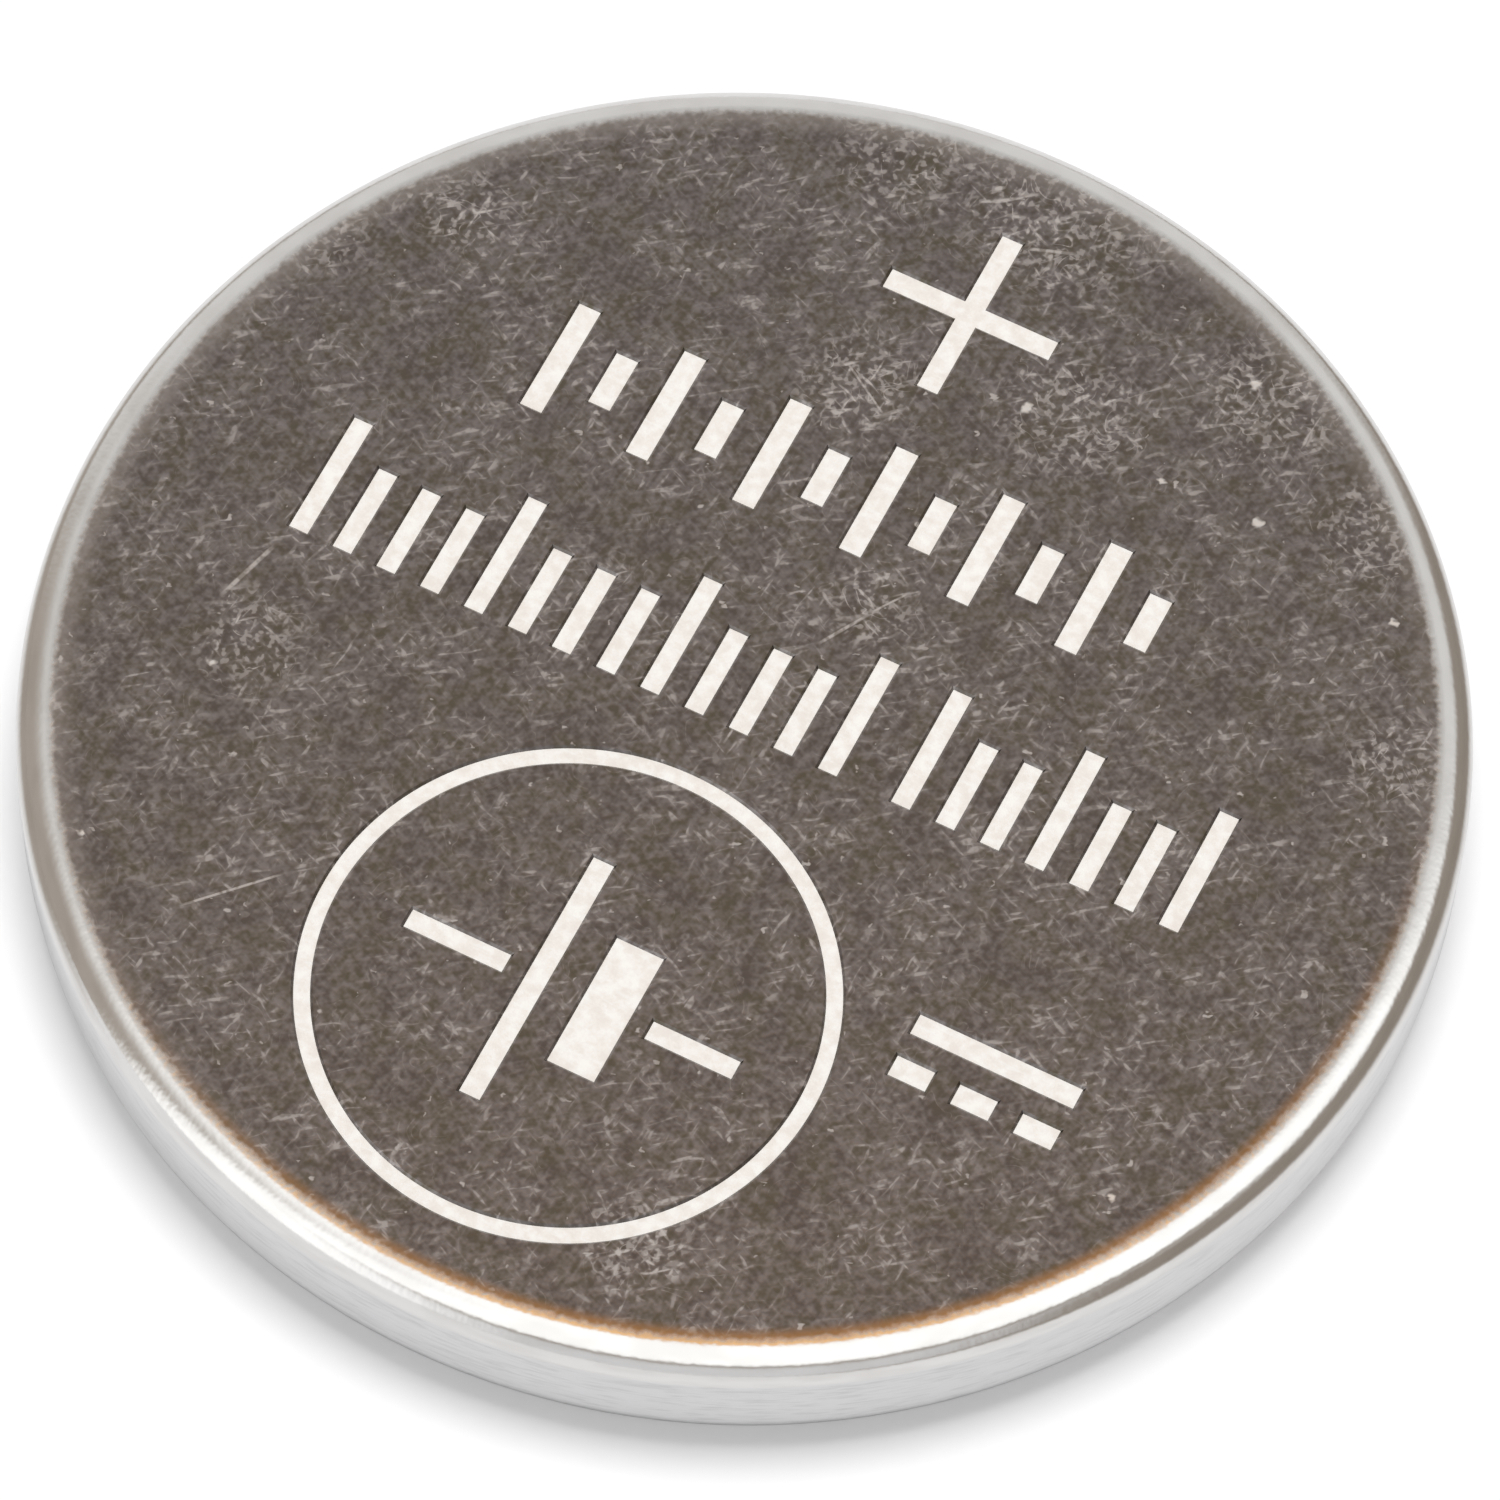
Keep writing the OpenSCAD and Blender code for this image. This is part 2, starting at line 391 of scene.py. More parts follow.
# %% Fibres, strokes and specks
def fibres(graph, place, scale, width, cover, seed, kind="2D"):
    """Thin curly lines: where a noise crosses its middle value, kept only where a second noise is high."""
    field = graph.noise(shifted(graph, place, seed), scale, 1.0, 0.5, 0.7, kind)
    line = abs(field - 0.5).ramp(width, width * 0.3)
    kept = graph.noise(shifted(graph, place, seed + 0.5), scale * 0.8, 1.0, 0.5, 0.0, kind)
    return line * kept.ramp(0.62 - cover, 0.74 - cover)


def strokes_along(graph, place, turn_deg, length, width, seed):
    """Noise drawn out along one direction, so that its high places are short strokes of that size."""
    given = {"Vector": place, "Rotation": (0, 0, math.radians(turn_deg)), "Scale": (length, width, 1),
             "Location": (seed, -seed, 0)}
    local = graph.node("ShaderNodeMapping", {"vector_type": "TEXTURE"}, given)
    return graph.noise(local, 1.0, 1.0, 0.6, 0.35, "2D")


def specks(graph, place, scale, size, seed):
    """Small round dots, one in some of the cells of a Voronoi pattern."""
    given = {"Vector": shifted(graph, place, seed), "Scale": scale}
    cells = graph.node("ShaderNodeTexVoronoi", {"voronoi_dimensions": "2D"}, given, "Distance")
    chosen = graph.node("ShaderNodeSeparateColor", None, {0: cells.out("Color")}, "Red").ramp(0.72, 0.8)
    return cells.ramp(size * scale, size * scale * 0.4) * chosen


# %% [markdown]
# ## Marks with a place of their own
# A handled face also has a few marks that the eye finds again: a scratch, a patch of scuffs, a bright
# nick. A noise can't be told where to put them. So each is worked out from the distance to a point or a
# line on the face, which costs less than another texture. Of all the marks of one kind, the strongest
# shows at each place.

# %% Placed marks
def spot_of(graph, place, centre, reach):
    """A soft round patch on the face, 1 at its centre and 0 past its reach."""
    away = graph.vector("DISTANCE", place, (*centre, 0), "Value")
    return away.ramp(reach, reach * 0.3)


def scratch(graph, place, start, end, width):
    """One straight mark between two places on the face, in millimetres, thinner towards its ends."""
    start, end = Vector((*start, 0)), Vector((*end, 0))
    half = (end - start) / 2
    from_middle = graph.vector("SUBTRACT", place, start + half)
    along = abs(graph.vector("DOT_PRODUCT", from_middle, half / half.length_squared, "Value"))
    sideways = Vector((-half.y, half.x, 0)).normalized()
    across = abs(graph.vector("DOT_PRODUCT", from_middle, sideways, "Value"))
    return across.ramp(width * 0.6, width * 0.2) * along.ramp(1.0, 0.55)


def all_of(make, graph, place, rows):
    """The strongest of many marks of one kind at each place."""
    strongest = make(graph, place, *rows[0])
    for row in rows[1:]:
        strongest = strongest.larger(make(graph, place, *row))
    return strongest


# each scratch is a start, an end and a width
SCRATCHES = [
    ((-5.5, -0.6), (-5.75, -1.5), 0.06),
    ((-3.45, -4.1), (-4.4, -5.1), 0.035),
    ((0.72, 1.65), (0.35, 1.0), 0.045),
    ((1.0, 2.1), (0.68, 1.6), 0.03),
    ((0.05, 0.4), (0.0, -0.6), 0.03),
    ((0.15, 6.6), (0.75, 6.82), 0.05),
    ((-0.2, 3.9), (-1.0, 4.4), 0.03),
]
# each scuffed patch and each nick is a centre and a reach
SCUFFS = [
    ((3.5, 6.2), 1.1), ((0.3, 7.25), 1.5), ((-1.6, 7.1), 1.0), ((1.6, 4.9), 1.1), ((-0.7, 4.2), 0.9),
    ((0.7, 1.7), 0.7), ((-5.2, -1.8), 0.8), ((5.2, 5.1), 0.9), ((-6.9, 3.2), 0.7), ((-5.6, 4.1), 0.7),
    ((1.9, -6.3), 0.8), ((6.6, 2.6), 0.7),
]
NICKS = [
    ((4.0, 4.64), 0.08), ((3.23, 6.2), 0.085), ((2.84, 4.59), 0.05), ((5.88, 4.2), 0.055),
    ((1.1, 4.77), 0.075), ((-5.42, -2.22), 0.065), ((-5.69, -4.75), 0.07), ((6.13, -3.5), 0.065),
]
print("placed marks:", len(SCRATCHES), "scratches,", len(SCUFFS), "scuffs,", len(NICKS), "nicks")

# %% [markdown]
# ## The can's steel
# The can is nickel-plated steel. Its face is a dull warm grey, painted dark as painted shade. Its rounded
# edge is smoother, painted bright as a painted highlight, and its wall below that band is painted darker
# again as painted shade. One material covers the whole can and tells the three apart by radius and height,
# so that no edge has to be cut into the mesh for it. The layers of wear come first. Strokes in three
# directions and a fine grain make the face's mottle, and only their highest places show as flecks. The
# grain also breaks up the curls and roughens the outlines of the nicks.

# %% Wear on the face
FACE_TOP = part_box("positive_can")[1].z / MM
FACE_EDGE = 7.59
EDGE_BLUR = 0.05
EDGE_RAGGEDNESS = 0.07
NICK_RAGGEDNESS = 0.14
# the directions are in degrees, with the length, the width and the place in the noise
STROKE_LAYERS = [(38, 0.34, 0.085, 3), (-24, 0.3, 0.08, 7), (85, 0.32, 0.085, 12)]

graph, place = surface("handled_steel")
flat_place = graph.vector("MULTIPLY", place, (1, 1, 0))
radius = graph.vector("LENGTH", flat_place, None, "Value")
cloud = graph.noise(shifted(graph, flat_place, 4), 1.1, 2.0, 0.6, 0.0, "2D")
tint = graph.noise(shifted(graph, flat_place, 9), 1.9, 1.0, 0.6, 0.0, "2D").ramp(0.4, 0.6)
grain = graph.noise(shifted(graph, flat_place, 10), 10.0, 1.0, 0.7, 0.0, "2D")
rising, falling, steep = (strokes_along(graph, flat_place, *layer) for layer in STROKE_LAYERS)
centred_grain = grain - 0.5
ragged_radius = radius + centred_grain * EDGE_RAGGEDNESS
within_edge = ragged_radius.ramp(FACE_EDGE + EDGE_BLUR, FACE_EDGE - EDGE_BLUR)
side_height = graph.node("ShaderNodeSeparateXYZ", None, {0: place}, "Z")
on_face = within_edge * side_height.ramp(FACE_TOP - 0.3, FACE_TOP - 0.1)
jog_given = {"X": centred_grain * NICK_RAGGEDNESS, "Y": (rising - 0.5) * NICK_RAGGEDNESS}
jog = graph.node("ShaderNodeCombineXYZ", None, jog_given)
rough_place = graph.vector("ADD", flat_place, jog)

worn = all_of(spot_of, graph, flat_place, SCUFFS)
nicks = all_of(spot_of, graph, rough_place, NICKS)
marks = all_of(scratch, graph, flat_place, SCRATCHES)
broken = grain.ramp(0.42, 0.58)
curls = fibres(graph, flat_place, 3.0, 0.03, 0.17, 3) * (0.35 + 0.65 * broken)
crumbs = grain.ramp(0.56, 0.66) * worn
dots = specks(graph, rough_place, 1.3, 0.04, 6)
small_dots = specks(graph, rough_place, 3.1, 0.022, 7)
even = grain * 0.4 + (rising + falling + steep) * 0.2
mottle = (even * 0.82 + cloud * 0.18).ramp(0.36, 0.64)
flecks = rising.ramp(0.61, 0.75).larger(falling.ramp(0.64, 0.78)).larger(steep.ramp(0.64, 0.78))
flecks = flecks * (cloud.ramp(0.4, 0.6) * 0.65 + worn * 0.5) * (0.4 + 0.6 * broken)
pale = flecks.larger(curls * (0.2 + worn * 0.75)).larger(crumbs * 0.5)
pale = pale.larger(dots * 0.95).larger(small_dots * 0.7)
pale = pale.larger(marks * (0.45 + 0.55 * grain.ramp(0.35, 0.55)))
print("wear:", len(STROKE_LAYERS), "layers of strokes, face out to", FACE_EDGE, "mm")

# %% [markdown]
# ## The colours of the steel
# Bare metal has no colour of its own under a light: it tints what it mirrors. So these are the shares of
# red, green and blue that each kind of place gives back. They also hold painted light: the face's shares
# are set low as painted shade, the rim band's high as a painted highlight and the wall's lower again as
# painted shade, so the parts go darker or lighter through their colours as well as through the sky above.
# The face is paler towards its edge on the far side, and a painted warm reflection lies along its near
# edge.

# %% Colours
# painted shade: below this height the wall takes a darker copy of the rim's steel
PAINTED_SHADE_WALL_TOP = 1.66
WALL_BLUR = 0.06
# painted shade: the face's colours are set far darker than the rim's, though both are the same steel
FACE_DARK = (0.132, 0.113, 0.104, 1)
FACE_OLIVE = (0.136, 0.12, 0.093, 1)
FACE_MAUVE = (0.254, 0.232, 0.23, 1)
FACE_PALE = (0.64, 0.6, 0.58, 1)
# a paler tone towards the face's edge on the far side
FACE_PALER_FAR_EDGE = (0.5, 0.465, 0.445, 1)
FACE_NICK = (0.88, 0.86, 0.84, 1)
# painted reflection: a warm glow along the face's near edge
FACE_PAINTED_WARM_REFLECTION = (0.42, 0.235, 0.105, 1)
# painted highlight: the rim band's colours are set bright, a lit copy of the same steel
RIM_PAINTED_HIGHLIGHT = (0.8, 0.79, 0.775, 1)
RIM_RUBBED_PAINTED_HIGHLIGHT = (0.74, 0.725, 0.705, 1)
# painted shade: the wall's colour is set darker than the rim band's
WALL_PAINTED_SHADE = (0.68, 0.68, 0.685, 1)
WALL_STREAK = (0.52, 0.515, 0.51, 1)

paler_edge_way = (far_way - level_right * 0.4).normalized()
# the way towards the near side, where the painted warm reflection lies
painted_warm_reflection_way = (level_right * 0.15 - far_way).normalized()
paler_edge_side = graph.vector("DOT_PRODUCT", flat_place, paler_edge_way, "Value").ramp(-7.6, 5.0)
painted_warm_reflection_side = graph.vector("DOT_PRODUCT", flat_place, painted_warm_reflection_way, "Value").ramp(1.5, 7.6)
face_wear_painted_shade_and_reflection = graph.mix(tint, FACE_DARK, FACE_OLIVE)
face_wear_painted_shade_and_reflection = graph.mix(mottle, face_wear_painted_shade_and_reflection, FACE_MAUVE)
face_wear_painted_shade_and_reflection = graph.mix(radius.ramp(7.25, 7.6) * paler_edge_side * 0.42, face_wear_painted_shade_and_reflection, FACE_PALER_FAR_EDGE)
face_wear_painted_shade_and_reflection = graph.mix(pale * 0.75, face_wear_painted_shade_and_reflection, FACE_PALE)
face_wear_painted_shade_and_reflection = graph.mix(nicks * 0.9, face_wear_painted_shade_and_reflection, FACE_NICK)
# painted reflection: warm along the near edge of the face
face_wear_painted_shade_and_reflection = graph.mix(radius.ramp(7.42, 7.6) * painted_warm_reflection_side, face_wear_painted_shade_and_reflection, FACE_PAINTED_WARM_REFLECTION)

rub = graph.noise(graph.vector("MULTIPLY", place, (1, 1, 6)), 1.6, 1.0, 0.6).ramp(0.35, 0.75)
streak = graph.noise(graph.vector("MULTIPLY", place, (1, 1, 9)), 2.3, 2.0, 0.65).ramp(0.45, 0.7)
# painted shade on the wall below the rim band
on_painted_shade_wall = side_height.ramp(PAINTED_SHADE_WALL_TOP + WALL_BLUR, PAINTED_SHADE_WALL_TOP - WALL_BLUR)
rim_wear_and_painted_highlight = graph.mix(rub, RIM_PAINTED_HIGHLIGHT, RIM_RUBBED_PAINTED_HIGHLIGHT)
wall_streaks_and_painted_shade = graph.mix(streak * 0.6, WALL_PAINTED_SHADE, WALL_STREAK)
side_colour = graph.mix(on_painted_shade_wall, rim_wear_and_painted_highlight, wall_streaks_and_painted_shade)
# the base colour puts the face's painted shade beside the rim's painted highlight and the wall's painted
# shade
handled_steel = finish_with(
    graph,
    Base_Color=graph.mix(on_face, side_colour, face_wear_painted_shade_and_reflection),
    Metallic=1.0,
    Roughness=0.18 + on_face * (0.14 + 0.15 * pale),
    Normal=bump(graph, grain, 0.002),
)

# %% [markdown]
# ## The frosted marks
# The marks on the positive face are stamped a few hundredths of a millimetre deep, and the die left their
# floor rough. Polished metal mirrors one part of the room, but a rough floor scatters all of it, so the
# marks look almost white on a grey face. A material of its own for the recesses shows this better than
# paint on a flat face.

# %% Frosted marks
graph, place = surface("frosted_steel")
mottle = graph.noise(shifted(graph, place, 1), 7.0, 3.0, 0.6).ramp(0.3, 0.7)
rub = graph.noise(graph.vector("MULTIPLY", place, (3.0, 14.0, 1.0)), 1.0, 3.0).ramp(0.55, 0.75)
frost_colour = graph.mix(mottle, (1.0, 0.965, 0.915, 1), (0.89, 0.825, 0.76, 1))
frost_colour = graph.mix(rub * 0.5, frost_colour, (1.0, 0.98, 0.95, 1))
frosted = finish_with(
    graph,
    Base_Color=frost_colour,
    Metallic=0.0,
    Roughness=0.6,
    Normal=bump(graph, mottle, 0.004),
)

# %% [markdown]
# ## The cap's steel
# The cap is the same plated sheet as the can, but it lies downwards in its holder and is handled less. So
# it is a lighter satin grey, with soft clouds and only a few fibres. Its wall and shoulder slope, so the
# fibres are read in all three directions here.

# %% Cap steel
graph, place = surface("satin_steel")
cap_grain = graph.noise(shifted(graph, place, 1), 9.0, 3.0, 0.6)
cap_fibres = fibres(graph, place, 2.6, 0.025, 0.06, 2, "3D")
cap_cloud = graph.noise(shifted(graph, place, 3), 0.7, 2.0).ramp(0.35, 0.7)
cap_colour = graph.mix(cap_cloud, (0.6, 0.585, 0.565, 1), (0.52, 0.5, 0.485, 1))
cap_colour = graph.mix(cap_fibres * 0.6, cap_colour, (0.75, 0.73, 0.71, 1))
satin_steel = finish_with(
    graph,
    Base_Color=cap_colour,
    Metallic=1.0,
    Roughness=0.26 + 0.1 * cap_cloud + 0.1 * cap_fibres,
    Normal=bump(graph, cap_grain + cap_fibres * 0.4, 0.0012),
)

# %% [markdown]
# ## The seal's plastic
# The seal is moulded from polypropylene, which is milky: light goes in a little way before it comes back.
# Subsurface scattering gives that. A faint noise, drawn out level, stands for the way that the plastic
# flowed round its mould.

# %% Seal plastic
graph, place = surface("milky_polypropylene")
flow = graph.noise(graph.vector("MULTIPLY", place, (1, 1, 3)), 3.0, 3.0).ramp(0.3, 0.7)
milky_polypropylene = finish_with(
    graph,
    Base_Color=graph.mix(flow, (0.74, 0.75, 0.74, 1), (0.66, 0.67, 0.66, 1)),
    Roughness=0.45 + 0.12 * flow,
    Subsurface_Weight=0.15,
    Subsurface_Radius=(0.4 * MM, 0.4 * MM, 0.4 * MM),
    Normal=bump(graph, flow, 0.003),
)

# %% [markdown]
# ## The pressed powder
# The cathode is a tablet of black powder, pressed in a die. It is matt, with a fine grain and small pits
# where lumps came away. It shows only when the cell is opened, so a Bump node is enough for both.

# %% Cathode powder
graph, place = surface("pressed_powder")
powder = graph.noise(place, 16.0, 4.0, 0.7)
pits = specks(graph, place, 5.0, 0.06, 2)
pressed_powder = finish_with(
    graph,
    Base_Color=graph.mix(powder.ramp(0.35, 0.7), (0.022, 0.022, 0.026, 1), (0.06, 0.06, 0.066, 1)),
    Roughness=0.75 + 0.2 * powder,
    Normal=bump(graph, powder - pits * 0.6, 0.012),
)

# %% [markdown]
# ## The collector's mesh
# The mesh behind the tablet is slit and pulled from bare stainless sheet, and keeps the fine lines of its
# rolling. They all run one way, so a noise is drawn out along X.

# %% Bare stainless
graph, place = surface("bare_stainless")
strand_grain = graph.noise(graph.vector("MULTIPLY", place, (2, 9, 9)), 3.0, 3.0)
bare_stainless = finish_with(
    graph,
    Base_Color=graph.mix(strand_grain.ramp(0.3, 0.7), (0.54, 0.52, 0.5, 1), (0.44, 0.42, 0.4, 1)),
    Metallic=1.0,
    Roughness=0.3 + 0.15 * strand_grain,
    Normal=bump(graph, strand_grain, 0.003),
)

# %% [markdown]
# ## The separator's fibre
# A non-woven sheet is a felt of plastic threads that lie every way. Two sizes of contour lines cross each
# other as such threads do, a little paler and smoother than the ground between them.

# %% Non-woven fibre
graph, place = surface("non_woven")
coarse_threads = fibres(graph, place, 2.4, 0.05, 0.3, 1, "3D")
threads = coarse_threads.larger(fibres(graph, place, 3.4, 0.05, 0.3, 2, "3D"))
non_woven = finish_with(
    graph,
    Base_Color=graph.mix(threads, (0.8, 0.79, 0.75, 1), (0.9, 0.89, 0.86, 1)),
    Roughness=0.85 - 0.1 * threads,
    Normal=bump(graph, threads, 0.008),
)

# %% [markdown]
# ## The lithium foil
# Lithium is a soft silvery metal that dulls as soon as air reaches it. A cloudy noise mixes the clean
# metal with that grey film, and long low lines are left by the rollers that made the foil.

# %% Lithium foil
graph, place = surface("lithium_foil")
film = graph.noise(place, 1.1, 4.0, 0.6, 0.6).ramp(0.42, 0.66)
rolled = graph.noise(graph.vector("MULTIPLY", place, (0.6, 12, 1)), 1.5, 3.0)
lithium_foil = finish_with(
    graph,
    Base_Color=graph.mix(film, (0.66, 0.67, 0.68, 1), (0.4, 0.41, 0.44, 1)),
    Metallic=1.0,
    Roughness=0.38 + 0.25 * film,
    Normal=bump(graph, rolled, 0.003),
)

# %% [markdown]
# ## Finishes for the pieces inside
# The four pieces inside have plain shapes, so they keep the CAD's own meshes. Each mesh already has one
# material slot, and its finish goes there.

# %% Finish the pieces inside
inner_finishes = {
    "cathode_pellet": pressed_powder,
    "cathode_collector": bare_stainless,
    "separator": non_woven,
    "lithium_anode": lithium_foil,
}
for node_name, finish in inner_finishes.items():
    nodes[node_name].material_slots[0].material = finish
print("finishes on the pieces inside:", len(inner_finishes))

# %% [markdown]
# ## The section of a bent sheet
# The can and the cap are each one sheet of steel, so their sections are best drawn as a maker bends them:
# a straight length, a bend of some radius and angle, the next length. `Bender` walks along one side of
# the sheet that way. The other side is the same walk moved sideways by the sheet's thickness, so the
# thickness is right in the bends too.

# %% Walk along a sheet
STEPS_PER_TURN = 72


class Bender:
    """A walk along one side of a sheet, in radius and height. Each point keeps the way to its left."""

    def __init__(self, start, heading_deg=0):
        self.at = Vector(start)
        self.heading = math.radians(heading_deg)
        self.stops = []
        self.keep()

    def left(self):
        return Vector((-math.sin(self.heading), math.cos(self.heading)))

    def keep(self):
        self.stops.append((self.at.copy(), self.left()))

    def straight(self, length):
        self.at += Vector((math.cos(self.heading), math.sin(self.heading))) * length
        self.keep()
        return self

    def bend(self, radius, turn_deg):
        """Turns to the left for a positive angle. The radius is that of the side that is walked."""
        side = math.copysign(1, turn_deg)
        centre = self.at + self.left() * side * radius
        steps = max(3, round(abs(turn_deg) / 360 * STEPS_PER_TURN))
        for _ in range(steps):
            self.heading += math.radians(turn_deg) / steps
            self.at = centre - self.left() * side * radius
            self.keep()
        return self

    def moved(self, distance):
        """The same walk, moved to the left by a distance."""
        return [at + left * distance for at, left in self.stops]


# %% [markdown]
# ## Trees that make a shape
# A Geometry Nodes tree is a recipe that can be run again with other sizes. Every tree here starts with
# named inputs and ends in real geometry with a material on it. A modifier knows an input by its socket's
# identifier, not by its name. `grow` runs a tree once, keeps the plain mesh that it made and counts open
# edges, because a closed piece has none.

# %% Geometry Nodes helpers
NUMBER = "NodeSocketFloat"
WHOLE = "NodeSocketInt"
PLACE = "NodeSocketVector"
YES_NO = "NodeSocketBool"
FINISH = "NodeSocketMaterial"
WELD = 0.0005


def start_tree(name, inputs):
    """A tree with named inputs. Gives its graph, the geometry that comes in, and each input by name."""
    tree = bpy.data.node_groups.new(name, "GeometryNodeTree")
    tree.interface.new_socket("Geometry", in_out="INPUT", socket_type="NodeSocketGeometry")
    for label, kind in inputs.items():
        tree.interface.new_socket(label, in_out="INPUT", socket_type=kind)
    tree.interface.new_socket("Geometry", in_out="OUTPUT", socket_type="NodeSocketGeometry")
    graph = Graph(tree)
    entry = graph.node("NodeGroupInput")
    return graph, entry, {label: entry.out(label) for label in inputs}


def end_tree(graph, geometry, finish):
    """Ends a tree as every tree here ends: real geometry with a material on it."""
    real = graph.node("GeometryNodeRealizeInstances", None, {0: geometry})
    coated = graph.node("GeometryNodeSetMaterial", None, {"Geometry": real, "Material": finish})
    graph.node("NodeGroupOutput", None, {0: coated})
    return graph.tree


def grow(name, tree, mesh, **inputs):
    """Runs a tree on a mesh and leaves the result as a plain mesh, with its faces pointing outwards."""
    piece = bpy.data.objects.new(name, mesh)
    scene.collection.objects.link(piece)
    modifier = piece.modifiers.new(name, "NODES")
    modifier.node_group = tree
    for item in tree.interface.items_tree:
        key = item.name.replace(" ", "_")
        if item.in_out == "INPUT" and key in inputs:
            modifier[item.identifier] = inputs[key]
    bpy.context.view_layer.update()
    evaluated = piece.evaluated_get(bpy.context.evaluated_depsgraph_get())
    made = bpy.data.meshes.new_from_object(evaluated)
    piece.modifiers.clear()
    piece.data = made
    made.name = name
    shape = bmesh.new()
    shape.from_mesh(made)
    bmesh.ops.recalc_face_normals(shape, faces=shape.faces)
    open_edges = sum(1 for edge in shape.edges if not edge.is_manifold)
    volume = shape.calc_volume(signed=True)
    shape.to_mesh(made)
    shape.free()
    print(f"{name}: {len(made.polygons)} faces, {volume:.3f} cubic mm, {open_edges} open edges")
    return piece


# %% [markdown]
# ## Turning a section
# A lathe turns a bar, and here a tree turns a section: a circle is the path, and Curve to Mesh carries
# the section round it. A closed path leaves no seam. The two flat discs of a cup are one many-sided face
# each, because a fan of thin triangles would be cut to pieces when the marks are stamped into it.

# %% The turning tree
PATH_RADIUS = 1.0

graph, entry, given = start_tree("turn a section", {"Segments": WHOLE, "Filled": YES_NO, "Finish": FINISH})
section_place = graph.node("GeometryNodeInputPosition")
section_size = graph.node("GeometryNodeAttributeDomainSize", None, {0: entry}, "Point Count")


def section_point(index):
    sampled = graph.node(
        "GeometryNodeSampleIndex",
        {"data_type": "FLOAT_VECTOR", "domain": "POINT"},
        {"Geometry": entry, "Value": section_place, "Index": index},
    )
    return graph.node("ShaderNodeSeparateXYZ", None, {0: sampled}, "X")


def flat_disc(corner):
    given_to_disc = {"Vertices": given["Segments"], "Radius": corner}
    disc = graph.node("GeometryNodeMeshCircle", {"fill_type": "NGON"}, given_to_disc)
    lift = graph.node("ShaderNodeCombineXYZ", None, {"Z": corner.out("Y")})
    return graph.node("GeometryNodeTransform", None, {0: disc, "Translation": lift})


# a path's frame points down, so the section is turned over before it is carried round
centred = graph.node(
    "GeometryNodeTransform", None, {0: entry, "Translation": (-PATH_RADIUS, 0, 0), "Scale": (1, -1, 1)})
profile = graph.node("GeometryNodeMeshToCurve", None, {0: centred})
path_given = {"Resolution": given["Segments"], "Radius": PATH_RADIUS}
path = graph.node("GeometryNodeCurvePrimitiveCircle", None, path_given)
turned = graph.node("GeometryNodeCurveToMesh", None, {"Curve": path, "Profile Curve": profile})
joined = graph.node("GeometryNodeJoinGeometry", None, {0: turned})
for corner in (section_point(0), section_point(section_size - 1)):
    graph.tree.links.new(flat_disc(corner).socket, joined.socket.node.inputs[0])
welded = graph.node("GeometryNodeMergeByDistance", None, {"Geometry": joined, "Distance": WELD})
shown = graph.node(
    "GeometryNodeSwitch",
    {"input_type": "GEOMETRY"},
    {"Switch": given["Filled"], "False": turned, "True": welded},
)
turning = end_tree(graph, shown, given["Finish"])
print("tree:", turning.name, "with", len(turning.nodes), "nodes")


SEGMENTS = 288


def turn(name, points, closed, finish, centre=(0, 0)):
    """Turns a section, given as points in radius and height, about a vertical axis."""
    last = len(points) - 1
    edges = [(i, i + 1) for i in range(last)] + ([(last, 0)] if closed else [])
    mesh = bpy.data.meshes.new(name)
    mesh.from_pydata([(p[0], p[1], 0) for p in points], edges, [])
    piece = grow(name, turning, mesh, Segments=SEGMENTS, Filled=not closed, Finish=finish)
    piece.data.transform(Matrix.Translation((*centre, 0)))
    return piece


# %% [markdown]
# ## The can
# The can is a shallow cup with its opening downwards. Its wall is rolled in below, over the seal and the
# cap's shoulder, and that crimp holds the cell shut. The sizes of the sheet and its bends are the CAD
# source's own, and the length of the wall follows from the cell's height.

# %% Can
CAN_SHEET = 0.2
CAN_CORNER_R = 0.38
RIM_R = 0.6
RIM_TURN = 75
RIM_LIP = 0.35
RIM_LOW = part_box("positive_can")[0].z / MM
CAN_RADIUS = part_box("positive_can")[1].x / MM
HOLD = 0.07

rim_drop = RIM_R * math.sin(math.radians(RIM_TURN)) + RIM_LIP * math.cos(math.radians(RIM_TURN))
rim_centre = Vector((CAN_RADIUS - RIM_R, RIM_LOW + rim_drop))
face_radius = CAN_RADIUS - CAN_CORNER_R
wall_length = FACE_TOP - CAN_CORNER_R - rim_centre.y

can_side = Bender((face_radius - HOLD, FACE_TOP)).straight(HOLD).bend(CAN_CORNER_R, -90)
can_side.straight(wall_length).bend(RIM_R, -RIM_TURN).straight(RIM_LIP)
can_section = can_side.moved(0) + can_side.moved(-CAN_SHEET)[::-1]
can_shell = turn("can_shell", can_section, False, handled_steel)
print("can: flat to", round(face_radius, 3), "mm, wall", round(wall_length, 3), "mm, lip ends at",
      [round(c, 4) for c in can_side.at])

# %% [markdown]
# ## The cap
# The cap is the negative pole. From its flat face the sheet turns up, out along a shoulder that the rim
# clamps, and up again as a skirt inside the can. Walking its outside from the face outwards gives all of
# that in one line.

# %% Cap
CAP_SHEET = 0.2
CAP_CORNER_R = 0.4
CAP_WALL_TURN = 70
SHOULDER_HEIGHT = 0.6
SHOULDER_WIDTH = 0.57
SHOULDER_ROOT_R = 0.15
SKIRT_CORNER_R = 0.35
SKIRT_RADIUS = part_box("negative_cap")[1].x / MM
SKIRT_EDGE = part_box("negative_cap")[1].z / MM

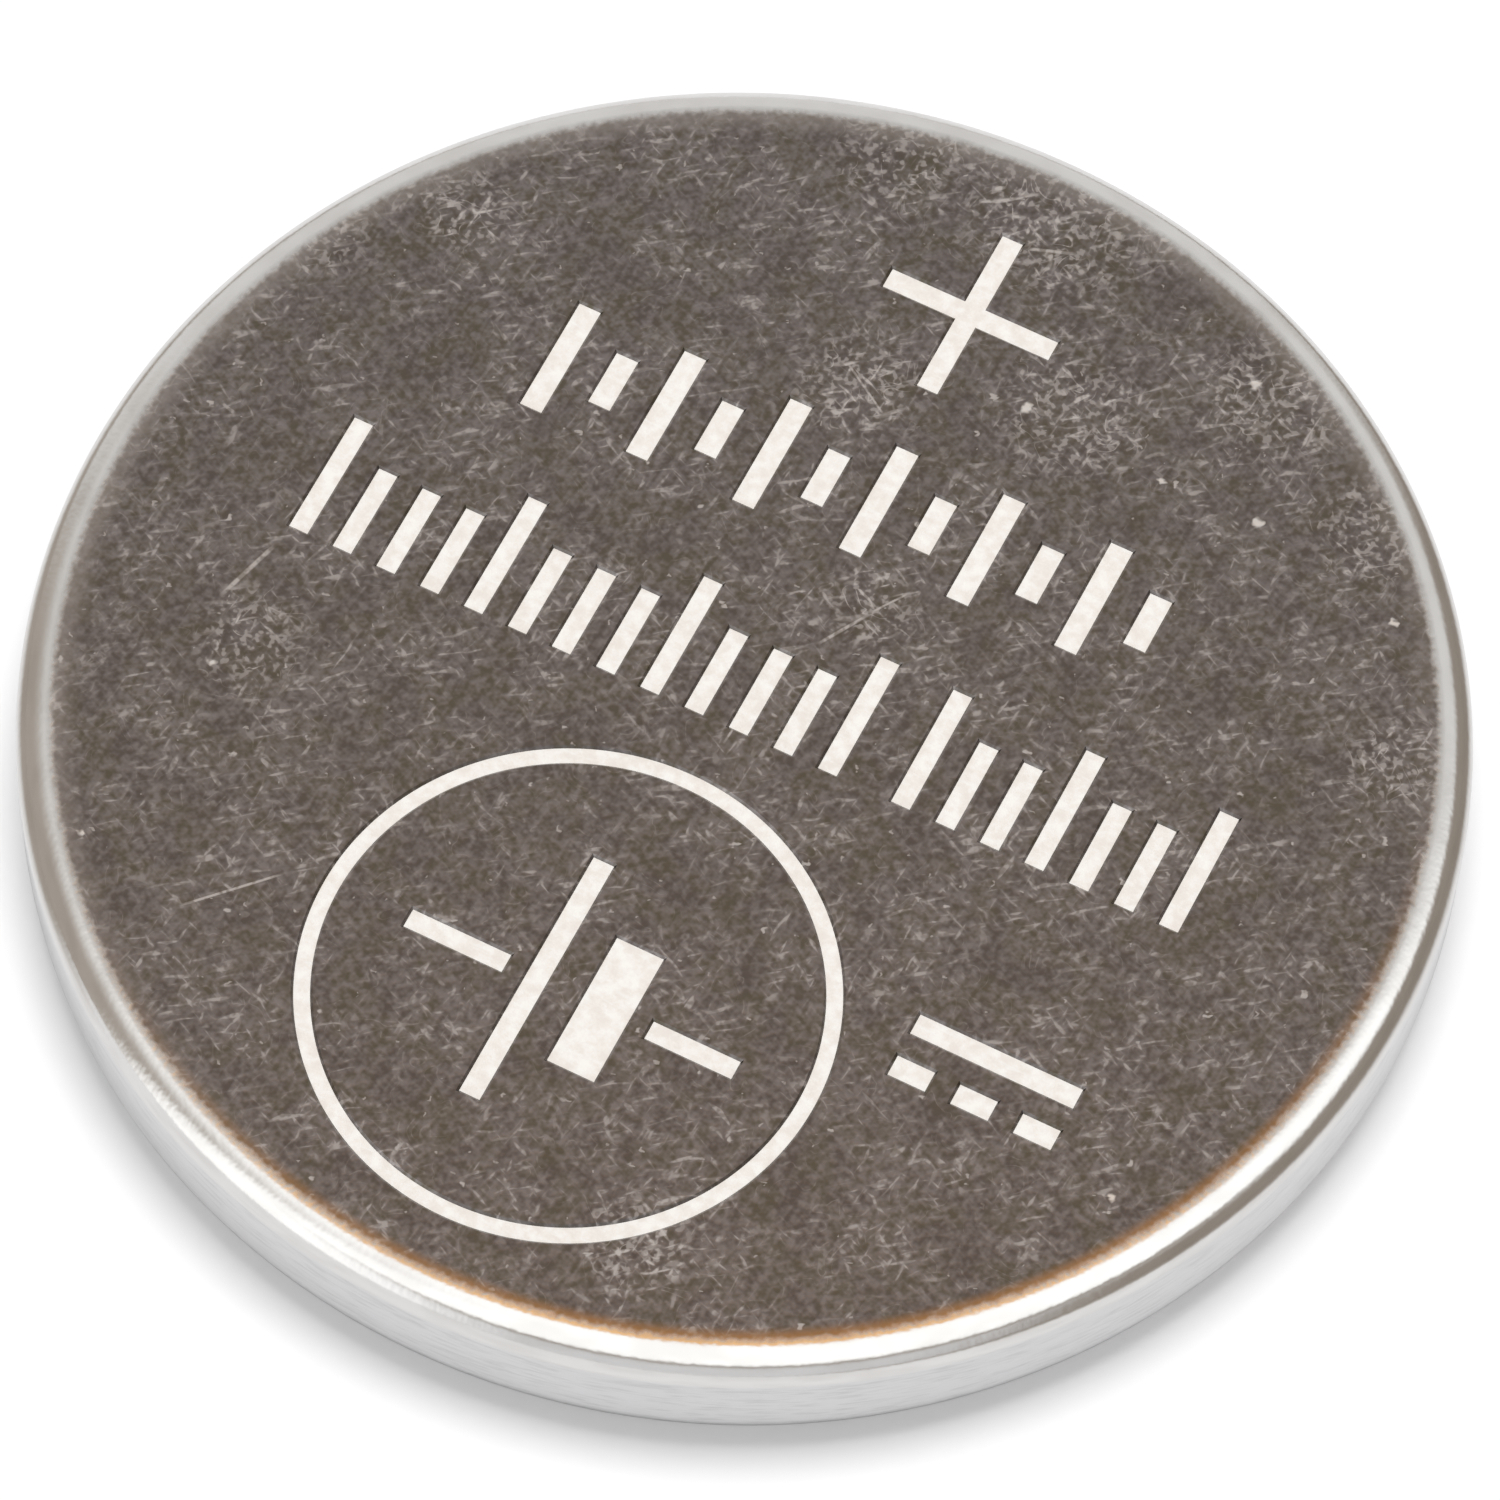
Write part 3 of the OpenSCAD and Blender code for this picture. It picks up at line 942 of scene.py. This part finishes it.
wall_slope = math.radians(CAP_WALL_TURN)
bends_rise = (CAP_CORNER_R + SHOULDER_ROOT_R) * (1 - math.cos(wall_slope))
cap_wall = (SHOULDER_HEIGHT - bends_rise) / math.sin(wall_slope)
wall_top_radius = SKIRT_RADIUS - SHOULDER_WIDTH
cap_flat = wall_top_radius - cap_wall * math.cos(wall_slope) - CAP_CORNER_R * math.sin(wall_slope)
shoulder_flat = SHOULDER_WIDTH - SHOULDER_ROOT_R * math.sin(wall_slope) - SKIRT_CORNER_R

cap_side = Bender((cap_flat - HOLD, 0)).straight(HOLD).bend(CAP_CORNER_R, CAP_WALL_TURN).straight(cap_wall)
cap_side.bend(SHOULDER_ROOT_R, -CAP_WALL_TURN)
cap_side.straight(shoulder_flat).bend(SKIRT_CORNER_R, 90)
skirt_start = len(cap_side.stops)
cap_side.straight(SKIRT_EDGE - cap_side.at.y)
cap_section = cap_side.moved(0) + cap_side.moved(CAP_SHEET)[::-1]
cap_shell = turn("cap_shell", cap_section, False, satin_steel)
print("cap: flat to", round(cap_flat, 4), "mm, skirt ends at", [round(c, 4) for c in cap_side.at])

# %% [markdown]
# ## The seal
# The seal is moulded to fill what the two shells leave between them, so its section is made of their
# walks: the can's, moved in by its sheet, and the cap's, moved out a little. A low lip inside the skirt
# and a narrow ring that shows past the end of the rim close the outline.

# %% Seal
FIT = 0.01
SEAL_SHOW = 0.22
SEAL_LIP_WIDTH = 0.3
SEAL_LIP_HEIGHT = 0.26

inside_can = can_side.moved(-CAN_SHEET - FIT)[1:-1]
lip_end = can_side.moved(-CAN_SHEET)[-1]
mouth_radius = lip_end.x - SEAL_SHOW
run = (inside_can[-1].x - mouth_radius) / math.sin(math.radians(RIM_TURN))
mouth_low = inside_can[-1].y - run * math.cos(math.radians(RIM_TURN))
root_r = SHOULDER_ROOT_R - FIT
root_centre = Vector((
    wall_top_radius + SHOULDER_ROOT_R * math.sin(wall_slope),
    SHOULDER_HEIGHT - SHOULDER_ROOT_R,
))
mouth_high = root_centre.y + math.sqrt(root_r ** 2 - (mouth_radius - root_centre.x) ** 2)
round_cap = [at for at in cap_side.moved(-FIT)[:skirt_start] if at.x > mouth_radius and at.y > mouth_high]
skirt_inside = SKIRT_RADIUS - CAP_SHEET - FIT
floor_under_skirt = SKIRT_EDGE + FIT
lip_inside = skirt_inside - SEAL_LIP_WIDTH
lip_foot = floor_under_skirt - SEAL_LIP_HEIGHT

seal_section = [(lip_inside, inside_can[0].y)] + inside_can
seal_section += [(mouth_radius, mouth_low), (mouth_radius, mouth_high)] + round_cap
seal_section += [(SKIRT_RADIUS + FIT, floor_under_skirt), (skirt_inside, floor_under_skirt)]
seal_section += [(skirt_inside, lip_foot), (lip_inside, lip_foot)]
seal_ring = turn("seal_ring", seal_section, True, milky_polypropylene)
print("seal: shows from", round(mouth_radius, 4), "to", round(lip_end.x, 4), "mm")

# %% [markdown]
# ## Stamping the marks
# The die pressed its marks a little into the face, with sloping sides, and those slopes catch a dark line
# on one side and a bright one on the other. A second tree lays out a row of strokes: it repeats one,
# makes every few of them taller, sinks them all to one depth and draws their floors in by the slope. The
# same tree makes a single bar when its count is one, so it serves every straight mark.

# %% The stroke tree
stroke_inputs = {
    "Count": WHOLE, "Pitch": NUMBER, "Width": NUMBER, "Height": NUMBER, "Tall Every": WHOLE,
    "Tall Height": NUMBER, "Lift": NUMBER, "Start": PLACE, "Surface": NUMBER, "Clear": NUMBER,
    "Depth": NUMBER, "Slope": NUMBER, "Finish": FINISH,
}
graph, entry, given = start_tree("a row of strokes", stroke_inputs)
step = graph.node("ShaderNodeCombineXYZ", None, {"X": given["Pitch"]})
line_given = {"Count": given["Count"], "Start Location": given["Start"], "Offset": step}
spots = graph.node("GeometryNodeMeshLine", {"mode": "OFFSET"}, line_given)
number = graph.node("GeometryNodeInputIndex")
in_group = number.math("MODULO", number, given["Tall Every"])
is_tall = number.math("LESS_THAN", in_group, 0.5)
tallness = given["Height"] + (given["Tall Height"] - given["Height"]) * is_tall
rise = tallness / 2 + (given["Tall Height"] - tallness) * given["Lift"]
up = graph.node("ShaderNodeCombineXYZ", None, {"Y": rise, "Z": given["Surface"] + given["Clear"]})
spots = graph.node("GeometryNodeSetPosition", None, {"Geometry": spots, "Offset": up})
square = {"Size X": 1.0, "Size Y": 1.0, "Vertices X": 2, "Vertices Y": 2}
blank = graph.node("GeometryNodeMeshGrid", None, square)
size = graph.node("ShaderNodeCombineXYZ", None, {"X": given["Width"], "Y": tallness, "Z": 1.0})
strokes_given = {"Points": spots, "Instance": blank, "Scale": size}
strokes = graph.node("GeometryNodeInstanceOnPoints", None, strokes_given)
strokes = graph.node("GeometryNodeRealizeInstances", None, {0: strokes})

position = graph.node("GeometryNodeInputPosition")
middle = graph.node(
    "GeometryNodeFieldOnDomain", {"data_type": "FLOAT_VECTOR", "domain": "FACE"}, {0: position})
away = graph.vector("SIGN", graph.vector("SUBTRACT", position, middle))
strokes = graph.node(
    "GeometryNodeStoreNamedAttribute",
    {"data_type": "FLOAT_VECTOR", "domain": "POINT"},
    {"Geometry": strokes, "Name": "away", "Value": away},
)
kept_away = graph.node("GeometryNodeInputNamedAttribute", {"data_type": "FLOAT_VECTOR"}, {"Name": "away"})
flat_away = graph.vector("MULTIPLY", kept_away, (1, 1, 0))
widen_by = given["Clear"] * given["Slope"]
widen = graph.node("ShaderNodeVectorMath", {"operation": "SCALE"}, {0: flat_away, "Scale": widen_by})
lids = graph.node("GeometryNodeSetPosition", None, {"Geometry": strokes, "Offset": widen})
whole_depth = given["Clear"] + given["Depth"]
sunk = graph.node(
    "GeometryNodeExtrudeMesh",
    {"mode": "FACES"},
    {"Mesh": lids, "Offset Scale": -1 * whole_depth, "Individual": True},
)
narrow_by = -1 * whole_depth * given["Slope"]
draw_in = graph.node("ShaderNodeVectorMath", {"operation": "SCALE"}, {0: flat_away, "Scale": narrow_by})
sunk = graph.node(
    "GeometryNodeSetPosition", None, {"Geometry": sunk, "Selection": sunk.out("Top"), "Offset": draw_in})
blocks = graph.node("GeometryNodeJoinGeometry", None, {0: sunk})
graph.tree.links.new(lids.socket, blocks.socket.node.inputs[0])
blocks = graph.node("GeometryNodeMergeByDistance", None, {"Geometry": blocks, "Distance": WELD})
blocks = graph.node("GeometryNodeRemoveAttribute", None, {"Geometry": blocks, "Name": "away"})
stroke_tree = end_tree(graph, blocks, given["Finish"])
print("tree:", stroke_tree.name, "with", len(stroke_tree.nodes), "nodes")

# %% [markdown]
# ## Where the marks go
# The polarity sign stands above two rows, and a ring and a small sign stand below them. The rows hold the
# plain strokes of two familiar drawings: long and short plates in turn, which is how a circuit diagram
# shows cells in series, and the even graduations of a rule. The ring holds one such cell with its leads,
# and beside it stands the sign for direct current, a bar over three dashes.

# %% Lay out the marks
MARK_DEPTH = 0.03
MARK_SLOPE = 0.9
MARK_CLEAR = 0.03
STROKE = 0.305
SIGN_Y = 5.57
PLATE_PITCH = 0.662
RULE_PITCH = 0.545
RING_CENTRE = (-0.12, -4.0)
RING_RADIUS = 2.87
RING_STROKE = 0.235
CURRENT_CENTRE = (4.34, -2.92)

ring_x, ring_y = RING_CENTRE
current_x, current_y = CURRENT_CENTRE
# count, pitch, width, height, every which one is tall, tall height, lift of the short ones, first place
rows = {
    "sign_across": (1, 0, 2.12, STROKE, 1, STROKE, 0, (0, SIGN_Y - STROKE / 2)),
    "sign_upright": (1, 0, STROKE, 2.23, 1, 2.23, 0, (0, SIGN_Y - 1.12)),
    "plates": (12, PLATE_PITCH, 0.32, 0.75, 2, 1.5, 0.5, (-3.815, 2.2)),
    "rule_left": (13, RULE_PITCH, 0.28, 1.15, 4, 1.6, 0, (-5.38, -0.355)),
    "rule_right": (7, RULE_PITCH - 0.005, 0.28, 1.15, 3, 1.6, 0, (2.05, -0.355)),
    "long_plate": (1, 0, 0.3, 3.2, 1, 3.2, 0, (ring_x - 0.38, ring_y - 1.6)),
    "short_plate": (1, 0, 0.62, 1.7, 1, 1.7, 0, (ring_x + 0.45, ring_y - 0.85)),
    "left_lead": (1, 0, 1.25, 0.28, 1, 0.28, 0, (ring_x - 1.35, ring_y - 0.14)),
    "right_lead": (1, 0, 1.1, 0.28, 1, 0.28, 0, (ring_x + 1.5, ring_y - 0.14)),
    "current_bar": (1, 0, 2.0, STROKE, 1, STROKE, 0, (current_x, current_y + 0.15)),
    "current_dashes": (3, 0.75, 0.5, STROKE, 1, STROKE, 0, (current_x - 0.75, current_y - 0.4)),
}
cutters = []
for name, (count, pitch, width, height, every, tall, lift, (x, y)) in rows.items():
    cutters.append(grow(
        name, stroke_tree, bpy.data.meshes.new(name), Count=count, Pitch=float(pitch), Width=width,
        Height=height, Tall_Every=every, Tall_Height=tall, Lift=float(lift), Start=(x, y, 0.0),
        Surface=FACE_TOP, Clear=MARK_CLEAR, Depth=MARK_DEPTH, Slope=MARK_SLOPE, Finish=frosted))

ring_floor = RING_STROKE / 2 - MARK_DEPTH * MARK_SLOPE
ring_lid = RING_STROKE / 2 + MARK_CLEAR * MARK_SLOPE
ring_section = [
    (RING_RADIUS - ring_floor, FACE_TOP - MARK_DEPTH),
    (RING_RADIUS + ring_floor, FACE_TOP - MARK_DEPTH),
    (RING_RADIUS + ring_lid, FACE_TOP + MARK_CLEAR),
    (RING_RADIUS - ring_lid, FACE_TOP + MARK_CLEAR),
]
cutters.append(turn("ring", ring_section, True, frosted, RING_CENTRE))

# %% [markdown]
# ## Pressing the marks into the can
# All the cutters become one mesh, and one exact Boolean takes it out of the can. The new faces keep the
# cutter's material, which gives the frosted floors without any painting. The slopes go back to the can's
# own steel, which draws a thin dark line round every mark.

# %% Stamp the face
FLAT_ENOUGH = 0.9

die_shape = bmesh.new()
for cutter in cutters:
    die_shape.from_mesh(cutter.data)
    bpy.data.objects.remove(cutter)
for face in die_shape.faces:
    face.material_index = 0
die_mesh = bpy.data.meshes.new("die")
die_shape.to_mesh(die_mesh)
die_shape.free()
die_mesh.materials.append(frosted)
die = bpy.data.objects.new("die", die_mesh)
scene.collection.objects.link(die)

stamp = can_shell.modifiers.new("stamp", "BOOLEAN")
stamp.operation = "DIFFERENCE"
stamp.solver = "EXACT"
stamp.use_self = True
stamp.material_mode = "TRANSFER"
stamp.object = die
bpy.context.view_layer.update()
stamped = can_shell.evaluated_get(bpy.context.evaluated_depsgraph_get())
stamped_mesh = bpy.data.meshes.new_from_object(stamped)
can_shell.modifiers.clear()
can_shell.data = stamped_mesh
bpy.data.objects.remove(die)
steel_slot = stamped_mesh.materials.find(handled_steel.name)
frosted_slot = stamped_mesh.materials.find(frosted.name)
from_die = [face for face in stamped_mesh.polygons if face.material_index == frosted_slot]
sloping = [face for face in from_die if face.normal.z < FLAT_ENOUGH]
for face in sloping:
    face.material_index = steel_slot
frosted_count = len(from_die) - len(sloping)
print("can after stamping:", len(stamped_mesh.polygons), "faces,", frosted_count, "of them frosted")

# %% [markdown]
# ## Handing the pieces over
# The trees work in millimetres, which keeps their numbers readable, so each mesh is scaled to metres
# once. Edges sharper than a bend's own steps stay crisp, and the rest are shaded smooth. Each piece then
# rides on the CAD's one body and stands for its CAD node, which is hidden.

# %% Scale, shade and hand over
CREASE = math.radians(28)
handed_over = {
    can_shell: ("positive_can", "can_steel"),
    cap_shell: ("negative_cap", "cap_steel"),
    seal_ring: ("sealing_gasket", "gasket_polypropylene"),
}
for piece, (node_name, slot_name) in handed_over.items():
    piece.data.transform(Matrix.Scale(MM, 4))
    piece.data.shade_smooth()
    piece.data.set_sharp_from_angle(angle=CREASE)
    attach(piece, "root")
    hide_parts(node_name)
    print(piece.name, "stands for", node_name, "with", len(piece.data.polygons), "faces")
